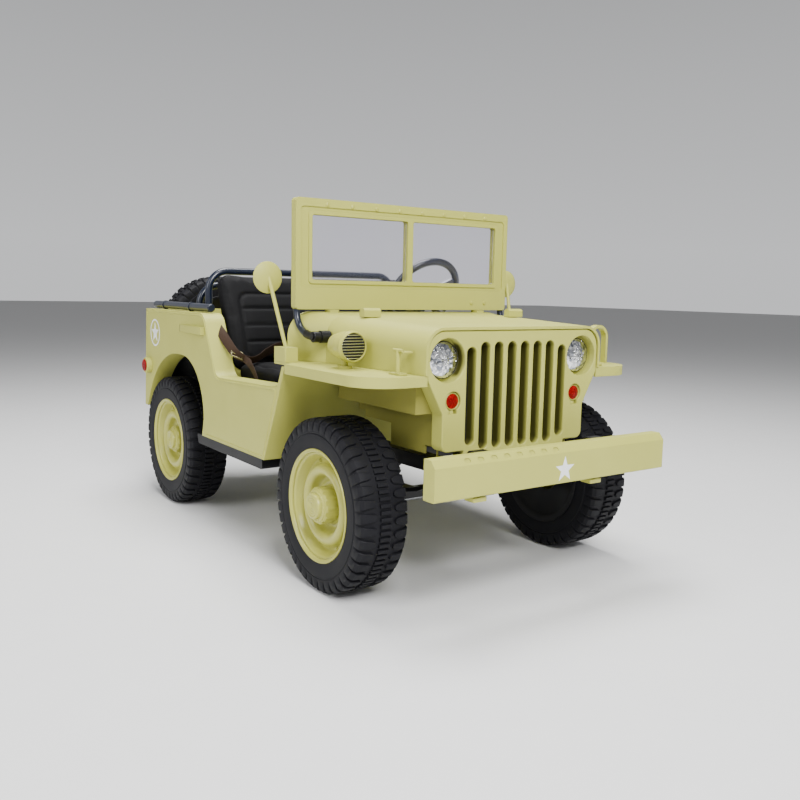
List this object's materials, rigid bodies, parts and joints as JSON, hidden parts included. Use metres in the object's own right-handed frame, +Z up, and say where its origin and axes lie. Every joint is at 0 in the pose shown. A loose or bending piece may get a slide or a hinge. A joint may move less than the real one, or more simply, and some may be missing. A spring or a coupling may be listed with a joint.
{
  "type": "ride-on toy army 4x4 car",
  "caption": "Child's battery ride-on toy in the form of a small open army 4x4: khaki body, bench seat, folding windscreen, steered front wheels and a spare wheel on the tail.",
  "frame": {"origin": "on the ground, midway between the bumper's face and the back of the spare wheel, on the car's middle plane", "axes": "+X points forward, +Y to the car's left, +Z up; the wheels roll along X"},
  "size_m": [1.531, 0.812, 0.852],
  "materials": {
    "khaki_plastic": "satin moulded plastic, khaki beige",
    "black_plastic": "fine matt texture",
    "tyre_black": "matt, slightly bluish black",
    "seat_skin": "soft artificial leather, stitched channels",
    "dark_tube": "smooth dark blue black powder coat",
    "black_steel": "satin black paint",
    "bare_steel": "zinc plated",
    "lamp_chrome": "bright faceted reflector under a clear lens",
    "red_lens": "clear red",
    "clear_pane": "clear, faintly violet",
    "spring_red": "red powder coat",
    "grey_trim": "satin grey beige"
  },
  "bodies": {
    "car_body": {"tub": "khaki_plastic", "running_boards": "black_plastic", "wing_left": "khaki_plastic", "wing_right": "khaki_plastic", "hood": "khaki_plastic", "hood_rests": "khaki_plastic", "cowl": "khaki_plastic", "dashboard": "khaki_plastic", "grille": "khaki_plastic", "grille_backing": "black_plastic", "headlamps": "lamp_chrome", "signal_lamps": "red_lens", "bumper": "khaki_plastic", "chassis": "black_steel", "cross_members": "black_steel", "inner_panels": "khaki_plastic", "screen_pivots": "black_steel", "seat_box": "black_plastic", "battery": "black_plastic", "seat_cushion": "seat_skin", "seat_back": "seat_skin", "seat_hoop": "dark_tube", "rear_hoop": "dark_tube", "top_rails": "dark_tube", "mirrors": "khaki_plastic", "wing_siren": "grey_trim", "lamp_guard": "khaki_plastic", "hood_catches": "khaki_plastic", "marker_bezels": "khaki_plastic", "marker_lenses": "red_lens", "side_grips": "khaki_plastic", "front_axle": "black_steel", "rear_axle": "bare_steel", "gearboxes": "black_plastic", "rear_springs": "spring_red", "leaf_springs": "black_steel", "spare_carrier": "khaki_plastic", "spare_nut": "khaki_plastic", "tyre_spare": "tyre_black", "rim_spare": "khaki_plastic"},
    "knuckle_left": {"knuckle_left": "black_steel"},
    "knuckle_right": {"knuckle_right": "black_steel"},
    "tie_rod": {"tie_rod": "bare_steel"},
    "steering": {"steering_wheel": "dark_tube", "steering_column": "black_steel"},
    "windscreen": {"screen_frame": "khaki_plastic", "screen_glass": "clear_pane", "screen_arms": "dark_tube"},
    "wheel_front_left": {"tyre_front_left": "tyre_black", "rim_front_left": "khaki_plastic"},
    "wheel_front_right": {"tyre_front_right": "tyre_black", "rim_front_right": "khaki_plastic"},
    "wheel_rear_left": {"tyre_rear_left": "tyre_black", "rim_rear_left": "khaki_plastic"},
    "wheel_rear_right": {"tyre_rear_right": "tyre_black", "rim_rear_right": "khaki_plastic"}
  },
  "joints": [
    {"name": "steer_left", "type": "hinge", "parent": "car_body", "child": "knuckle_left", "pos_m": [0.4325, 0.256, 0.188], "axis": [0, 0, 1], "range_deg": [-20, 20]},
    {"name": "steer_right", "type": "hinge", "parent": "car_body", "child": "knuckle_right", "pos_m": [0.4325, -0.256, 0.188], "axis": [0, 0, 1], "range_deg": [-20, 20]},
    {"name": "steering_turn", "type": "hinge", "parent": "car_body", "child": "steering", "pos_m": [0.0625, 0.16, 0.636], "axis": [-0.848, 0, 0.5299], "range_deg": [-40, 40]},
    {"name": "tie_rod_shift", "type": "slide", "parent": "car_body", "child": "tie_rod", "axis": [0, 1, 0], "range_m": [-0.022, 0.022]},
    {"name": "screen_fold", "type": "hinge", "parent": "car_body", "child": "windscreen", "pos_m": [0.3025, 0, 0.538], "axis": [0, 1, 0], "range_deg": [0, 95]},
    {"name": "spin_front_left", "type": "hinge", "parent": "knuckle_left", "child": "wheel_front_left", "pos_m": [0.4325, 0.3285, 0.188], "axis": [0, 1, 0], "continuous": true},
    {"name": "spin_front_right", "type": "hinge", "parent": "knuckle_right", "child": "wheel_front_right", "pos_m": [0.4325, -0.3285, 0.188], "axis": [0, 1, 0], "continuous": true},
    {"name": "spin_rear_left", "type": "hinge", "parent": "car_body", "child": "wheel_rear_left", "pos_m": [-0.4675, 0.3285, 0.188], "axis": [0, 1, 0], "continuous": true},
    {"name": "spin_rear_right", "type": "hinge", "parent": "car_body", "child": "wheel_rear_right", "pos_m": [-0.4675, -0.3285, 0.188], "axis": [0, 1, 0], "continuous": true}
  ],
  "couplings": [
    {"joint": "steer_right", "follows": "steer_left", "ratio": 1},
    {"joint": "steering_turn", "follows": "steer_left", "ratio": 2},
    {"joint": "tie_rod_shift", "follows": "steer_left", "m_per_rad": -0.062}
  ]
}
